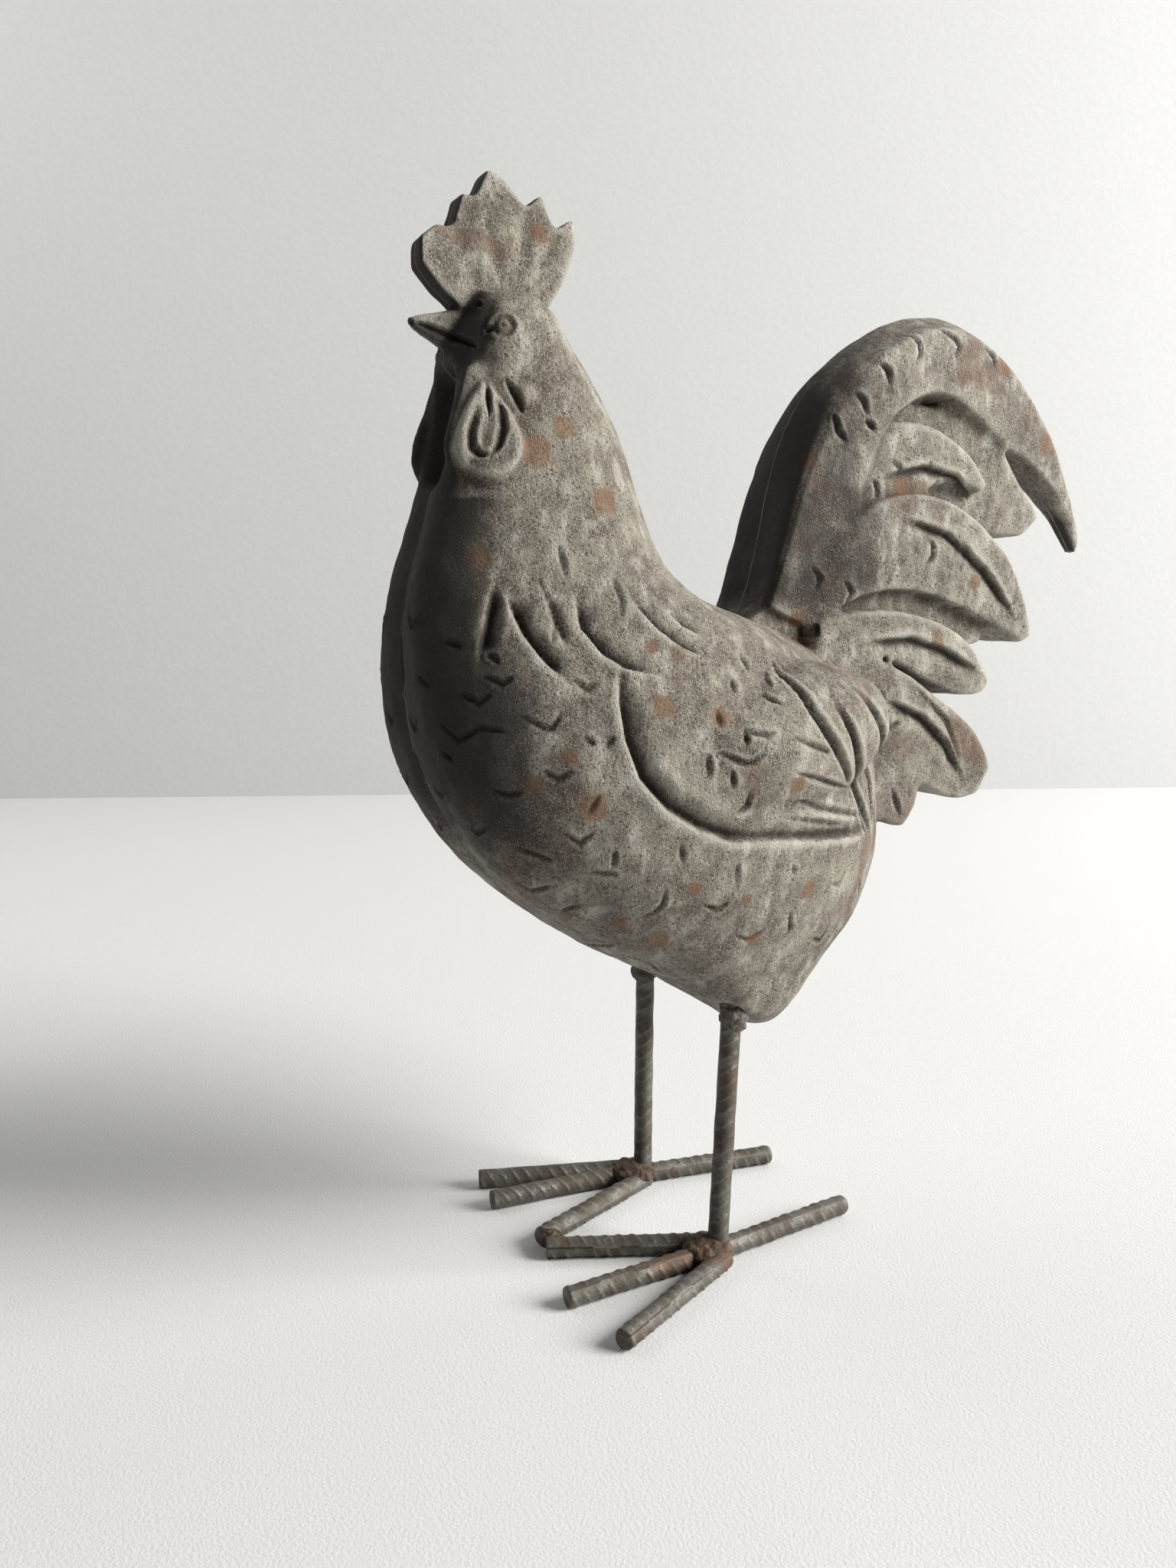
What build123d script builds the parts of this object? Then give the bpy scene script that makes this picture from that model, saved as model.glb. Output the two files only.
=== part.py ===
"""Standing cockerel garden figure: a hollow cast body in two bonded halves on two welded bar feet.

Millimetres. +Z is up, the bird faces -Y, and its left side is +X.
The origin is on the ground, midway between the two legs.
"""

import math
import os

from build123d import *

# ---- driving dimensions -------------------------------------------------------------------

BELLY_HEIGHT = 83.0  # from the ground to the lowest point of the belly
BODY_WIDTH = 132.0  # across the torso, without the wings
WALL = 7.0  # wall of the cast shell
HOLLOW_TOP = 300.0  # height that the hollow reaches up the neck
SEAM_GAP = 0.8  # thickness of the bond between the two halves

BAR_D = 8.4  # diameter of the reinforcing bar, over its ribs
LEG_SPREAD = 70.0  # from one leg to the other, centre to centre
LEG_TOP_Y = 3.5  # place of both leg bars at their hooks
ANKLE_Y = {"left": -3.5, "right": 1.5}  # place of each leg's foot, as each leans a little
HOOK_DEPTH = 34.0  # how far up inside the belly each leg bar turns inwards
HOOK_BEND_R = 14.0  # radius of that bend, on the bar's centre line
HOOK_END_X = 8.0  # the hooked end stops this far from the middle
FILL_COVER = 10.0  # fill that lies over the hooks

PUTTY_R = 8.0  # collar of putty round each leg, where it goes into the belly
PUTTY_DROP = 7.0  # how far that collar hangs below the belly
PUTTY_LIP = 0.6  # how thick it is at its lower end
WELD_SPREAD = 6.0  # how far a foot weld reaches past the leg that it holds
WELD_LIFT = 0.8  # the welds stay this far off the ground

# The body and neck as level slices: height, front, widest station, back and half width.
# Heights here and in the tables below are with the belly 83 above the ground, and LIFT moves them.
BODY_SLICES = [
    (83, 26, 30, 36, 9),
    (87, 18, 26, 39, 21),
    (93, 9, 18, 43, 33),
    (100, -2, 10, 49, 40.5),
    (112, -20, 2, 61, 45.5),
    (125, -45, -4, 74, 51.5),
    (142, -69, -9, 82, 59),
    (162, -89.5, -13, 85, 64.5),
    (182, -102.5, -20, 84, 66),
    (202, -110.5, -27, 80, 65),
    (222, -113.5, -32, 68, 61),
    (238, -114, -36, 46, 55),
    (248, -113.5, -40, 21, 50),
    (256, -112, -44, -1, 46.5),
    (264, -110.5, -48, -11.5, 43),
    (276, -106.5, -52, -19, 39),
    (294, -101.5, -57, -24, 34),
    (314, -97, -62, -30.5, 29),
    (330, -95.5, -66, -39.5, 25.5),
    (343, -92.5, -68, -49, 23.5),
    (353, -87, -70, -55, 19),
    (359, -84, -71, -61, 11),
]
FRONT_FLAT = 0.3  # part of each slice's width that is flat across the breast

# Tail feathers in side view. Each has its half width, the edge above it and the edge below it.
TAIL_FEATHERS = {
    "upper": (
        18,
        [(44, 290), (72, 320), (104, 325), (129, 314), (140, 302)],
        [(136, 299), (108, 300), (88, 285), (70, 240)],
    ),
    "broad": (
        24,
        [(60, 280), (106, 296), (139, 279), (156, 257), (161, 239)],
        [(155, 236), (127, 249), (95, 258), (50, 245)],
    ),
    "centre": (
        10,
        [(60, 305), (95, 331), (128, 333), (153, 320), (166, 304), (173, 297), (177, 290)],
        [(168, 282), (150, 282), (110, 286), (60, 280)],
    ),
    "inner": (
        18,
        [(70, 262), (120, 255), (139, 243), (138, 236)],
        [(126, 235), (100, 238), (70, 235)],
    ),
    "lower": (
        27,
        [(45, 246), (88, 250), (118, 240), (136, 220)],
        [(132, 216), (107, 219), (82, 231), (45, 222)],
    ),
    "under": (
        28,
        [(40, 232), (82, 229), (110, 213), (130, 197), (137, 184)],
        [(130, 173), (99, 180), (78, 196), (40, 190)],
    ),
    "bottom": (
        27,
        [(50, 210), (84, 205), (98, 184), (97, 170)],
        [(91, 162), (79, 166), (60, 175), (40, 180)],
    ),
}
TAIL_CORE = [
    (12, 236),
    (31, 258),
    (42, 290),
    (66, 320),
    (90, 316),
    (112, 292),
    (108, 262),
    (92, 222),
    (80, 185),
    (40, 180),
]
TAIL_CORE_HALF_WIDTH = 18.0
TAIL_HOLLOW = [
    (38, 215),
    (48, 262),
    (57, 286),
    (74, 304),
    (88, 300),
    (98, 286),
    (94, 262),
    (80, 225),
    (60, 205),
]

# The sickle feather is ridged: a deep outline at the middle and a slim one along its underside.
SICKLE_MIDDLE = (
    [(28, 252), (38, 291), (48, 324), (60, 342), (89, 364)]
    + [(122, 371.5), (152, 362), (182, 331), (201, 304), (211, 280)],
    [(208, 271), (194, 293), (168, 314), (143, 326), (117, 336), (92, 328), (70, 290), (55, 240)],
)
SICKLE_EDGE = (
    [(27, 252), (33, 275), (42, 301), (57, 328), (83, 352)]
    + [(117, 361), (149, 350), (174, 331), (196, 305), (208, 280)],
    [(205, 271), (190, 292), (165, 312), (139, 327), (116, 337), (92, 331), (70, 293), (56, 240)],
)
SICKLE_HALF_WIDTH = 21.0
SICKLE_PLAN = [(21.0, 0), (21.0, 95), (11.5, 160), (6.5, 215)]  # half width at places along it

# Comb outline in side view, tips and notches in turn from the front root to the back root.
COMB_OUTLINE = [
    (-74, 350),
    (-89, 353),
    (-96.5, 359),
    (-103.5, 367),
    (-103, 375),
    (-96.5, 380),
    (-92, 379),
    (-88, 391),
    (-83.5, 390),
    (-78.5, 400),
    (-73.5, 398),
    (-64.5, 389),
    (-58.5, 394.5),
    (-53.5, 383),
    (-46, 388),
    (-46, 378),
    (-51.5, 363),
    (-58, 354),
]
COMB_HALF_WIDTH = 6.0
COMB_TIP_R = 1.0  # rounding of the tips and notches in side view
COMB_EDGE_R = 0.9  # rounding along the comb's outer edges

BEAK_ROOT = (-86.0, 345.0)  # place of the beak's root in side view
BEAK_ROOT_HALF = (9.5, 10.0)  # half width and half height there
BEAK_TIP = (-106.5, 348.5)
BEAK_TIP_R = 1.4

# Each wattle as level slices: height, middle from side to side and from front to back, and half sizes.
WATTLE_SLICES = [
    (293, 18.0, -89, 2.0, 5.0),
    (297, 18.0, -88.5, 4.6, 10.0),
    (304, 18.0, -88, 5.6, 12.8),
    (313, 17.5, -87.5, 5.6, 11.8),
    (323, 16.5, -87, 5.2, 8.7),
    (333, 15.0, -86, 4.6, 6.5),
]

WING_SUNK = 28.0  # how far the wing's middle lies in from the torso's side
WING_CENTRE = (4.0, 200.0)  # place in side view
WING_HALF = (31.5, 64.0, 30.0)
WING_TILT = 12.0  # nose-up tilt of the folded wing, in degrees

# Toes of each foot: start beside the leg's axis in bar diameters, turn outwards from straight ahead
# in degrees, and length. A hind toe's turn is from straight back.
TOES = {
    "left": {
        "outer": (0.75, 26.0, 66.0),
        "middle": (0.0, 3.0, 66.0),
        "inner": (-0.75, -23.5, 64.0),
        "hind": (0.0, -6.5, 67.0),
    },
    "right": {
        "outer": (0.65, 18.0, 70.5),
        "middle": (0.3, 4.0, 69.0),
        "inner": (-0.5, -22.5, 67.5),
        "hind": (0.0, -9.0, 61.5),
    },
}
# How far from the leg's axis a toe starts, in bar diameters.
TOE_START = {"outer": 0.0, "middle": 1.35, "inner": 0.0, "hind": 0.35}
GROUND_R = 2.6  # the hind toe is ground to this radius where it is welded on
WELD_CLEAR = 0.5  # it has its full size again this far past the weld

BAR_R = BAR_D / 2
LEG_X = LEG_SPREAD / 2
LIFT = BELLY_HEIGHT - BODY_SLICES[0][0]
WIDEN = BODY_WIDTH / (2 * max(s[4] for s in BODY_SLICES))
HOOK_Z = BELLY_HEIGHT + HOOK_DEPTH
FILL_TOP = HOOK_Z + BAR_R + FILL_COVER
SIDES = {"left": 1, "right": -1}
FAR = 900.0  # past everything
FROM_BASE = (Align.CENTER, Align.CENTER, Align.MIN)
FROM_MIDDLE = (Align.MIN, Align.CENTER, Align.CENTER)
LEFT_SIDE = Box(FAR, FAR, FAR, align=FROM_MIDDLE)


def mirrored(shape):
    return mirror(shape, about=Plane.YZ)


# ---- cast body ----------------------------------------------------------------------------


def slice_face(z, front, widest, back, half_width, inset=0.0):
    """Left half of one level slice, drawn in by the inset all round but open at the middle."""
    width = half_width * WIDEN - inset
    flat = FRONT_FLAT * width
    breast = Line((0, front + inset), (flat, front + inset))
    breast_depth = widest - front - inset
    back_depth = back - widest - inset
    ahead = EllipticalCenterArc((flat, widest), width - flat, breast_depth, start_angle=270, arc_size=90)
    behind = EllipticalCenterArc((0, widest), width, back_depth, start_angle=0, arc_size=90)
    middle = Line(behind @ 1, breast @ 0)
    return Pos(0, 0, z) * make_face([breast, ahead, behind, middle])


def torso():
    return loft([slice_face(*s) for s in BODY_SLICES])


def body_hollow():
    """Left half of the hollow: the body's slices drawn in by the wall, from the belly to the throat."""
    wide = [s for s in BODY_SLICES if s[0] > BODY_SLICES[0][0] + WALL and s[0] < HOLLOW_TOP]
    return loft([slice_face(*s, inset=WALL) for s in wide])


def tail_hollow():
    return side_plate(TAIL_HOLLOW, TAIL_CORE_HALF_WIDTH - WALL)


def side_plate(points, half_width):
    edges = Polyline(*[(0, y, z) for y, z in points], close=True)
    return extrude(make_face(edges), amount=half_width, dir=(1, 0, 0))


def side_outline(points_up, points_down):
    """Face in side view between two smooth edges that meet at a blunt tip and a root."""
    up = Spline(*[(0, y, z) for y, z in points_up])
    down = Spline(*[(0, y, z) for y, z in points_down])
    tip = Line(up @ 1, down @ 0)
    root = Line(down @ 1, up @ 0)
    return make_face([up, tip, down, root])


def feather(half_width, points_up, points_down):
    return extrude(side_outline(points_up, points_down), amount=half_width, dir=(1, 0, 0))


def sickle():
    """Curved top feather, ridged along its upper edge and narrowed towards its tip."""
    middle = side_outline(*SICKLE_MIDDLE)
    edge = Pos(SICKLE_HALF_WIDTH, 0, 0) * side_outline(*SICKLE_EDGE)
    ridged = loft([middle, edge], ruled=True)
    plan = Polyline((0, 0), *SICKLE_PLAN, (0, SICKLE_PLAN[-1][1]), close=True)
    return ridged & extrude(make_face(plan), amount=FAR)


def tail():
    solid = side_plate(TAIL_CORE, TAIL_CORE_HALF_WIDTH) + sickle()
    for half_width, points_up, points_down in TAIL_FEATHERS.values():
        solid += feather(half_width, points_up, points_down)
    return solid


def comb():
    outline = make_face(Polyline(*COMB_OUTLINE, close=True))
    outline = fillet(outline.vertices()[1:-1], COMB_TIP_R)
    plate = Plane.YZ * extrude(outline, amount=COMB_HALF_WIDTH)
    outer = plate.edges().group_by(Axis.X)[-1]
    return fillet(outer, COMB_EDGE_R)


def beak():
    root_y, root_z = BEAK_ROOT
    tip_y, tip_z = BEAK_TIP
    root = Plane((0, root_y, root_z), x_dir=(1, 0, 0), z_dir=(0, -1, 0)) * Ellipse(*BEAK_ROOT_HALF)
    tip = Plane((0, tip_y, tip_z), x_dir=(1, 0, 0), z_dir=(0, -1, 0)) * Circle(BEAK_TIP_R)
    return loft([root, tip]) & LEFT_SIDE


def wattle():
    return loft([Pos(x, y, z) * Ellipse(thick, wide) for z, x, y, thick, wide in WATTLE_SLICES])


def wing():
    y, z = WING_CENTRE
    return Pos(BODY_WIDTH / 2 - WING_SUNK, y, z) * Rot(WING_TILT, 0, 0) * scale(Sphere(1), by=WING_HALF)


def cast_half():
    """Left half of the casting, hollow, before the bond is let in and the leg hole is cut."""
    solid = torso() + wing() + tail() + comb() + beak() + wattle()
    solid = solid - body_hollow() - tail_hollow()
    return Pos(0, 0, LIFT) * solid


# ---- bars ---------------------------------------------------------------------------------


def leg_bar(side):
    """Leg bar from the ground up through the belly, turned inwards at its top as an anchor."""
    s = SIDES[side]
    foot = (s * LEG_X, ANKLE_Y[side], 0)
    knee = (s * LEG_X, LEG_TOP_Y, HOOK_Z)
    end = (s * HOOK_END_X, LEG_TOP_Y, HOOK_Z)
    route = FilletPolyline(foot, knee, end, radius=HOOK_BEND_R)
    bar = sweep(Plane(foot, z_dir=route % 0) * Circle(BAR_R), path=route)
    return bar & Box(FAR, FAR, FAR, align=FROM_BASE)


def straight_bar(start, direction, length):
    return Plane(start, z_dir=direction) * Cylinder(BAR_R, length, align=FROM_BASE)


def ground_bar(start, direction, length):
    """Straight bar with its first end ground to a taper, as far as the foot weld covers it."""
    taper = WELD_SPREAD + WELD_CLEAR - TOE_START["hind"] * BAR_D
    point = Plane(start, z_dir=direction) * Cone(GROUND_R, BAR_R, taper, align=FROM_BASE)
    return point + straight_bar(start + direction * taper, direction, length - taper)


def toe(side, name):
    """One toe as a straight bar that lies on the ground, before it is cut to fit the others."""
    s = SIDES[side]
    beside, turn, length = TOES[side][name]
    ahead = 1 if name == "hind" else -1
    angle = math.radians(turn)
    direction = Vector(s * math.sin(angle), ahead * math.cos(angle), 0)
    skip = TOE_START[name] * BAR_D
    start = Vector(s * (LEG_X + beside * BAR_D), ANKLE_Y[side], BAR_R) + direction * skip
    make_bar = ground_bar if name == "hind" else straight_bar
    return make_bar(start, direction, length - skip)


def half_space(side):
    """Everything on one side of the bird, clear of the middle by half the bond."""
    kept = Pos(SEAM_GAP / 2, 0, 0) * LEFT_SIDE
    return kept if side == "left" else mirrored(kept)


def foot(side, leg):
    """The four toes of one foot, each cut to fit the leg and the toes laid before it."""
    made = {name: toe(side, name) - leg for name in TOES[side]}
    made["inner"] = (made["inner"] - made["outer"]) & half_space(side)
    made["middle"] = made["middle"] - made["outer"] - made["inner"]
    made["hind"] = made["hind"] - made["outer"] - made["inner"]
    return made


# ---- joints: welds, putty, fill and bond --------------------------------------------------


def weld(centre, radius, bars):
    """Ball of weld round some bars, flat below and just off the ground, with the bars cut out."""
    off_ground = Box(FAR, FAR, FAR, align=FROM_BASE)
    lump = (Pos(*centre) * Sphere(radius)) & (Pos(0, 0, WELD_LIFT) * off_ground)
    for bar in bars:
        lump = lump - bar
    return lump


def foot_weld(side, bars):
    return weld((SIDES[side] * LEG_X, ANKLE_Y[side] - BAR_R, WELD_LIFT), BAR_R + WELD_SPREAD, bars)


def tip_weld(toes):
    tip_y = max(bar.bounding_box().min.Y for bar in toes) + BAR_R
    return weld((0, tip_y, BAR_R), BAR_D * 0.62, toes)


def belly_fill(hollow, bars):
    below = Pos(0, 0, FILL_TOP) * Box(FAR, FAR, FAR, align=(Align.CENTER, Align.CENTER, Align.MAX))
    half = hollow & below
    solid = half + mirrored(half)
    for bar in bars:
        solid = solid - bar
    return solid


def putty_collar(side, leg, body):
    """Collar round the leg under the belly, shaped to the belly above it."""
    s = SIDES[side]
    entry_z = (leg & body).bounding_box().min.Z
    top = entry_z + 3 * PUTTY_DROP
    cone = Cone(BAR_R + PUTTY_LIP, PUTTY_R, top - entry_z + PUTTY_DROP, align=FROM_BASE)
    cone = Pos(s * LEG_X, LEG_TOP_Y, entry_z - PUTTY_DROP) * cone
    return cone - body - leg


# ---- assembly -----------------------------------------------------------------------------


def build():
    legs = {side: leg_bar(side) for side in SIDES}
    feet = {side: foot(side, legs[side]) for side in SIDES}

    whole_half = cast_half()
    bond_slab = Box(SEAM_GAP / 2, FAR, FAR, align=FROM_MIDDLE)
    bond_half = whole_half & bond_slab
    shell = whole_half & (Pos(SEAM_GAP / 2, 0, 0) * LEFT_SIDE)
    solid_body = Pos(0, 0, LIFT) * torso()

    parts = {
        "body_half_left": shell - legs["left"],
        "body_half_right": mirrored(shell) - legs["right"],
        "seam_bond": bond_half + mirrored(bond_half),
        "belly_fill": belly_fill(Pos(0, 0, LIFT) * body_hollow(), legs.values()),
        "toe_tip_weld": tip_weld([feet[side]["inner"] for side in SIDES]),
    }
    for side, bars in feet.items():
        body = solid_body if side == "left" else mirrored(solid_body)
        parts[f"{side}_leg_bar"] = legs[side]
        parts[f"{side}_leg_putty"] = putty_collar(side, legs[side], body)
        parts[f"{side}_foot_weld"] = foot_weld(side, [legs[side], *bars.values()])
        for name, bar in bars.items():
            parts[f"{side}_{name}_toe"] = bar
    return parts


os.makedirs("parts", exist_ok=True)
for part_name, shape in build().items():
    export_step(shape, f"parts/{part_name}.step")
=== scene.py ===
import math

import bmesh
import bpy
import numpy as np
from mathutils import Matrix, Vector, noise
from mathutils.bvhtree import BVHTree


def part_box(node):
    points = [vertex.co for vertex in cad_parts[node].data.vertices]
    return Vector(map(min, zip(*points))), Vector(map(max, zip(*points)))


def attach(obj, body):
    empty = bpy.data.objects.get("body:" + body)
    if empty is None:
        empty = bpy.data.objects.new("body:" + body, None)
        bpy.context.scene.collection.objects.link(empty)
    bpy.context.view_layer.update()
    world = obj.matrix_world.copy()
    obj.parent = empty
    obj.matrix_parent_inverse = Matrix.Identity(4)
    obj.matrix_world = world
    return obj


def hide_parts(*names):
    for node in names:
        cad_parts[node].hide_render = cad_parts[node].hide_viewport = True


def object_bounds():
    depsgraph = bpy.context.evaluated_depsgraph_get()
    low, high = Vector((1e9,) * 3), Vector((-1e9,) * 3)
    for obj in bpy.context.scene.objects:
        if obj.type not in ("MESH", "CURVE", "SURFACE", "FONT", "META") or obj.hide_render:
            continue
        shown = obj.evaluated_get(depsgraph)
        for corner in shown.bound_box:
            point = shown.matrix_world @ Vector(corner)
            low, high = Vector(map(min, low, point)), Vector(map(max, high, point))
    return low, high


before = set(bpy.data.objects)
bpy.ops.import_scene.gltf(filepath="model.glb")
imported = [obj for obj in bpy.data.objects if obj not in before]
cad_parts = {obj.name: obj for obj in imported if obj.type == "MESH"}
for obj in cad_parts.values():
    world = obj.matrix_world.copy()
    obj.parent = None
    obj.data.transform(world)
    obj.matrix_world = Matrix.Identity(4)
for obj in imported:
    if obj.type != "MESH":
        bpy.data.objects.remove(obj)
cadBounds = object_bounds()
mm = 0.001
sides = {"left": 1, "right": -1}


# Helpers for meshes and pieces

def makePiece(name, mesh, material, replaced=()):
    mesh.polygons.foreach_set("use_smooth", [True] * len(mesh.polygons))
    mesh.materials.clear()
    mesh.materials.append(material)
    piece = bpy.data.objects.new(name, mesh)
    bpy.context.scene.collection.objects.link(piece)
    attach(piece, "root")
    if replaced:
        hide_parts(*replaced)
    return piece


def meshFrom(name, bm):
    mesh = bpy.data.meshes.new(name)
    bm.to_mesh(mesh)
    bm.free()
    return mesh


def modified(mesh, kind, **settings):
    # the mesh with one modifier applied
    holder = bpy.data.objects.new("holder", mesh)
    bpy.context.scene.collection.objects.link(holder)
    modifier = holder.modifiers.new(kind.lower(), kind)
    for key, value in settings.items():
        setattr(modifier, key, value)
    graph = bpy.context.evaluated_depsgraph_get()
    made = bpy.data.meshes.new_from_object(
        holder.evaluated_get(graph), preserve_all_data_layers=True, depsgraph=graph
    )
    bpy.data.objects.remove(holder)
    return made


def pointsOf(mesh):
    flat = np.empty(len(mesh.vertices) * 3)
    mesh.vertices.foreach_get("co", flat)
    return flat.reshape(-1, 3) / mm


def normalsOf(mesh):
    flat = np.empty(len(mesh.vertices) * 3)
    mesh.vertex_normals.foreach_get("vector", flat)
    return flat.reshape(-1, 3)


def edgesOf(mesh):
    flat = np.empty(len(mesh.edges) * 2, np.int32)
    mesh.edges.foreach_get("vertices", flat)
    return flat.reshape(-1, 2)


def setPoints(mesh, points):
    mesh.vertices.foreach_set("co", (points * mm).ravel())
    mesh.update()


def neighbourMean(values, edges, count):
    # mean of each point's neighbours, column by column
    degree = np.bincount(edges.ravel(), minlength=count)
    columns = []
    for column in np.atleast_2d(values.T):
        total = np.bincount(edges[:, 0], column[edges[:, 1]], count)
        total += np.bincount(edges[:, 1], column[edges[:, 0]], count)
        columns.append(total / np.maximum(degree, 1))
    return np.array(columns).T if values.ndim > 1 else columns[0]


def smoothed(values, edges, times, strength=0.6):
    # each point drawn towards its neighbours
    for step in range(times):
        values = values + strength * (neighbourMean(values, edges, len(values)) - values)
    return values


def ramp(values, low, high):
    # rises softly from 0 at low to 1 at high
    t = np.clip((values - low) / (high - low), 0, 1)
    return t * t * (3 - 2 * t)


def band(values, low, high):
    # whole between the two ramps, and nothing outside them
    return ramp(values, *low) * (1 - ramp(values, *high))


def blended(first, second, share):
    return first * (1 - share)[:, None] + second * share[:, None]


def setAttribute(mesh, name, values):
    attribute = mesh.attributes.new(name, "FLOAT", "POINT")
    attribute.data.foreach_set("value", values.astype(np.float32))


# Materials

def newMaterial(name):
    material = bpy.data.materials.new(name)
    material.use_nodes = True
    nodes = material.node_tree.nodes
    nodes.clear()
    output = nodes.new("ShaderNodeOutputMaterial")
    shader = nodes.new("ShaderNodeBsdfPrincipled")
    material.node_tree.links.new(shader.outputs["BSDF"], output.inputs["Surface"])
    return material, shader


class Wiring:
    # short calls for the nodes that every tree here uses
    def __init__(self, tree):
        self.tree = tree

    def node(self, kind, **settings):
        made = self.tree.nodes.new(kind)
        for key, value in settings.items():
            setattr(made, key, value)
        return made

    def link(self, source, target):
        self.tree.links.new(source, target)

    def put(self, socket, value):
        if isinstance(value, bpy.types.NodeSocket):
            self.link(value, socket)
        else:
            socket.default_value = value

    def place(self):
        return self.node("ShaderNodeTexCoord").outputs["Object"]

    def moved(self, vector, scale=(1, 1, 1), turn=(0, 0, 0)):
        mapping = self.node("ShaderNodeMapping")
        self.link(vector, mapping.inputs["Vector"])
        mapping.inputs["Scale"].default_value = scale
        mapping.inputs["Rotation"].default_value = turn
        return mapping.outputs["Vector"]

    def cloud(self, vector, scale, detail=4.0, rough=0.55, twist=0.0):
        made = self.node("ShaderNodeTexNoise")
        self.link(vector, made.inputs["Vector"])
        made.inputs["Scale"].default_value = scale
        made.inputs["Detail"].default_value = detail
        made.inputs["Roughness"].default_value = rough
        made.inputs["Distortion"].default_value = twist
        return made.outputs["Fac"]

    def cells(self, vector, scale, spread=1.0):
        made = self.node("ShaderNodeTexVoronoi")
        self.link(vector, made.inputs["Vector"])
        made.inputs["Scale"].default_value = scale
        made.inputs["Randomness"].default_value = spread
        return made.outputs["Distance"]

    def stretch(self, value, low, high, newLow=0.0, newHigh=1.0):
        made = self.node("ShaderNodeMapRange", interpolation_type="SMOOTHSTEP")
        self.put(made.inputs["Value"], value)
        made.inputs["From Min"].default_value = low
        made.inputs["From Max"].default_value = high
        made.inputs["To Min"].default_value = newLow
        made.inputs["To Max"].default_value = newHigh
        return made.outputs["Result"]

    def calc(self, operation, first, second, clamp=False):
        made = self.node("ShaderNodeMath", operation=operation, use_clamp=clamp)
        self.put(made.inputs[0], first)
        self.put(made.inputs[1], second)
        return made.outputs[0]

    def mix(self, amount, first, second, kind="MIX"):
        made = self.node("ShaderNodeMix", data_type="RGBA", blend_type=kind)
        self.put(made.inputs["Factor"], amount)
        self.put(made.inputs[6], first if isinstance(first, bpy.types.NodeSocket) else (*first, 1))
        self.put(made.inputs[7], second if isinstance(second, bpy.types.NodeSocket) else (*second, 1))
        return made.outputs[2]

    def attribute(self, name):
        return self.node("ShaderNodeAttribute", attribute_name=name).outputs["Fac"]

    def bump(self, height, strength, distance):
        made = self.node("ShaderNodeBump")
        self.link(height, made.inputs["Height"])
        made.inputs["Strength"].default_value = strength
        made.inputs["Distance"].default_value = distance
        return made.outputs["Normal"]


def newGroup(name, inputs, outputs):
    group = bpy.data.node_groups.new(name, "ShaderNodeTree")
    for label, kind, value in inputs:
        socket = group.interface.new_socket(label, in_out="INPUT", socket_type=kind)
        if value is not None:
            socket.default_value = value
    for label, kind in outputs:
        group.interface.new_socket(label, in_out="OUTPUT", socket_type=kind)
    wiring = Wiring(group)
    return group, wiring, wiring.node("NodeGroupInput").outputs, wiring.node("NodeGroupOutput").inputs


# The grain: how much finer its small grit is, and which noise values are pits, specks and pores.
grit = dict(
    finer=2.7, coarseDetail=5.0, coarseRough=0.65, fineDetail=3.0,
    pits=(0.47, 0.36), specks=(0.56, 0.7), pores=(0.3, 0.05), fineHeight=0.5, poreDepth=0.25,
)


def makeGrain():
    # gritty surface: fine pits and specks, at a scale given in grains per metre
    group, w, given, out = newGroup(
        "grain",
        [("Vector", "NodeSocketVector", None), ("Scale", "NodeSocketFloat", 500.0)],
        [("Pits", "NodeSocketFloat"), ("Speck", "NodeSocketFloat"), ("Height", "NodeSocketFloat")],
    )
    coarse = w.node("ShaderNodeTexNoise")
    w.link(given["Vector"], coarse.inputs["Vector"])
    w.link(given["Scale"], coarse.inputs["Scale"])
    coarse.inputs["Detail"].default_value = grit["coarseDetail"]
    coarse.inputs["Roughness"].default_value = grit["coarseRough"]
    finer = w.calc("MULTIPLY", given["Scale"], grit["finer"])
    fine = w.node("ShaderNodeTexNoise")
    w.link(given["Vector"], fine.inputs["Vector"])
    w.link(finer, fine.inputs["Scale"])
    fine.inputs["Detail"].default_value = grit["fineDetail"]
    cells = w.node("ShaderNodeTexVoronoi")
    w.link(given["Vector"], cells.inputs["Vector"])
    w.link(given["Scale"], cells.inputs["Scale"])
    w.link(w.stretch(coarse.outputs["Fac"], *grit["pits"]), out["Pits"])
    w.link(w.stretch(fine.outputs["Fac"], *grit["specks"]), out["Speck"])
    pores = w.calc("MULTIPLY", w.stretch(cells.outputs["Distance"], *grit["pores"]), grit["poreDepth"])
    finer = w.calc("MULTIPLY", fine.outputs["Fac"], grit["fineHeight"])
    height = w.calc("ADD", coarse.outputs["Fac"], finer)
    w.link(w.calc("SUBTRACT", height, pores), out["Height"])
    return group


grainGroup = makeGrain()


def grainOf(w, vector, scale):
    made = w.node("ShaderNodeGroup", node_tree=grainGroup)
    w.link(vector, made.inputs["Vector"])
    made.inputs["Scale"].default_value = scale
    return made.outputs


castLook = dict(
    pewter=(0.262, 0.241, 0.192),
    pale=(0.56, 0.54, 0.49),
    umber=(0.060, 0.040, 0.026),
    shade=(0.014, 0.010, 0.007),
    tan=(0.175, 0.088, 0.040),
    rust=(0.115, 0.050, 0.028),
    sootAndShade=(0.013, 0.009, 0.006),
)
# How many grains, drifts or blots the casting's paint has in a metre.
castScale = dict(grain=900.0, drift=42.0, gritty=110.0, mottle=210.0, blot=30.0, ragged=190.0, sootAndShade=70.0)
brushed = dict(scale=(150, 150, 60), turn=(0.5, 0.2, 0))
castBump = 1.1 * mm


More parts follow.
